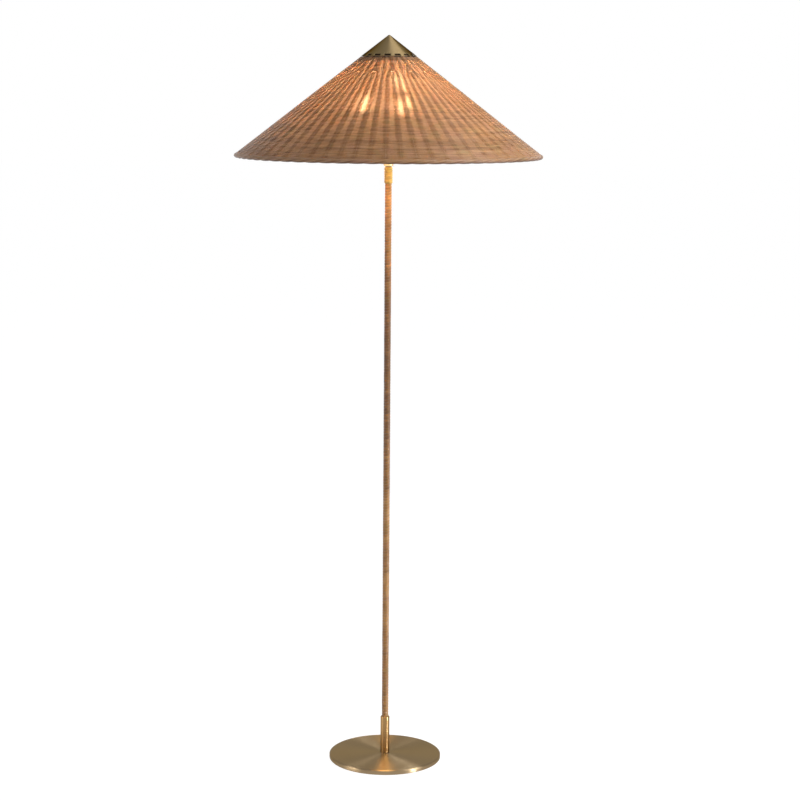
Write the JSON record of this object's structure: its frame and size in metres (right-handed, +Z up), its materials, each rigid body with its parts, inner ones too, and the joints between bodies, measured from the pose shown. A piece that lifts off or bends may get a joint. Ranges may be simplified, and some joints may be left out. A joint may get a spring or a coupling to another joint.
{
  "type": "floor lamp",
  "caption": "Floor lamp with a round brass foot, a slim stem wound with rattan, lamp holders on bent arms, and a wide cone shade of woven willow under a pierced brass cap.",
  "frame": {"origin": "middle of the foot's underside, on the floor", "axes": "+Z up the stem, -Y towards the viewer of the picture, +X to that viewer's right"},
  "size_m": [0.634, 0.634, 1.531],
  "materials": {
    "brass": "brushed, slightly aged",
    "steel": "zinc plated",
    "rattan": "rattan peel, satin varnish",
    "willow": "woven willow, satin varnish",
    "felt": "pressed felt",
    "insulation": "braided sleeve",
    "porcelain": "glazed white",
    "nickel": "nickel plated",
    "clear_glass": "clear",
    "glow": "lit filament",
    "dark_plastic": "moulded"
  },
  "bodies": {
    "stand": {"foot_plate": "brass", "foot_pad": "felt", "foot_washer": "steel", "foot_nut": "steel", "foot_stud": "steel", "stem_collar": "brass", "lead_bush": "dark_plastic", "stem_lead": "insulation", "stem_tube": "steel", "rattan_wrap": "rattan", "top_binding": "rattan", "neck_washer": "brass", "arm_hub": "brass", "hub_nut": "steel", "terminal_block": "porcelain", "hub_lid": "brass", "rod_nut": "steel", "shade_rod": "brass", "seat_nut": "brass", "carrier_plate": "brass", "lamp_arm_1": "brass", "arm_lead_1": "insulation", "holder_bell_1": "brass", "holder_shell_1": "brass", "holder_insert_1": "porcelain", "centre_contact_1": "nickel", "lamp_arm_2": "brass", "arm_lead_2": "insulation", "holder_bell_2": "brass", "holder_shell_2": "brass", "holder_insert_2": "porcelain", "centre_contact_2": "nickel", "lamp_arm_3": "brass", "arm_lead_3": "insulation", "holder_bell_3": "brass", "holder_shell_3": "brass", "holder_insert_3": "porcelain", "centre_contact_3": "nickel"},
    "shade": {"shade_weave": "willow", "top_ring": "steel", "rim_border": "willow"},
    "cap": {"cap_cone": "brass", "cap_boss": "brass"},
    "bulb_1": {"bulb_cap_1": "nickel", "bulb_glass_1": "clear_glass", "bulb_filament_1": "glow"},
    "bulb_2": {"bulb_cap_2": "nickel", "bulb_glass_2": "clear_glass", "bulb_filament_2": "glow"},
    "bulb_3": {"bulb_cap_3": "nickel", "bulb_glass_3": "clear_glass", "bulb_filament_3": "glow"}
  },
  "joints": [
    {"name": "shade_lift", "type": "slide", "parent": "stand", "child": "shade", "axis": [0, 0, 1], "range_m": [0, 0.24]},
    {"name": "cap_lift", "type": "slide", "parent": "stand", "child": "cap", "axis": [0, 0, 1], "range_m": [0, 0.3]},
    {"name": "bulb_unscrew_1", "type": "hinge", "parent": "stand", "child": "bulb_1", "pos_m": [0.03765, 0.03968, 1.32], "axis": [0, 0, 1], "range_deg": [0, 1080]},
    {"name": "bulb_unscrew_2", "type": "hinge", "parent": "stand", "child": "bulb_2", "pos_m": [-0.05319, 0.01277, 1.32], "axis": [0, 0, 1], "range_deg": [0, 1080]},
    {"name": "bulb_unscrew_3", "type": "hinge", "parent": "stand", "child": "bulb_3", "pos_m": [0.01554, -0.05245, 1.32], "axis": [0, 0, 1], "range_deg": [0, 1080]}
  ],
  "couplings": [
    {"joint": "cap_lift", "follows": "shade_lift", "ratio": 1.25}
  ]
}
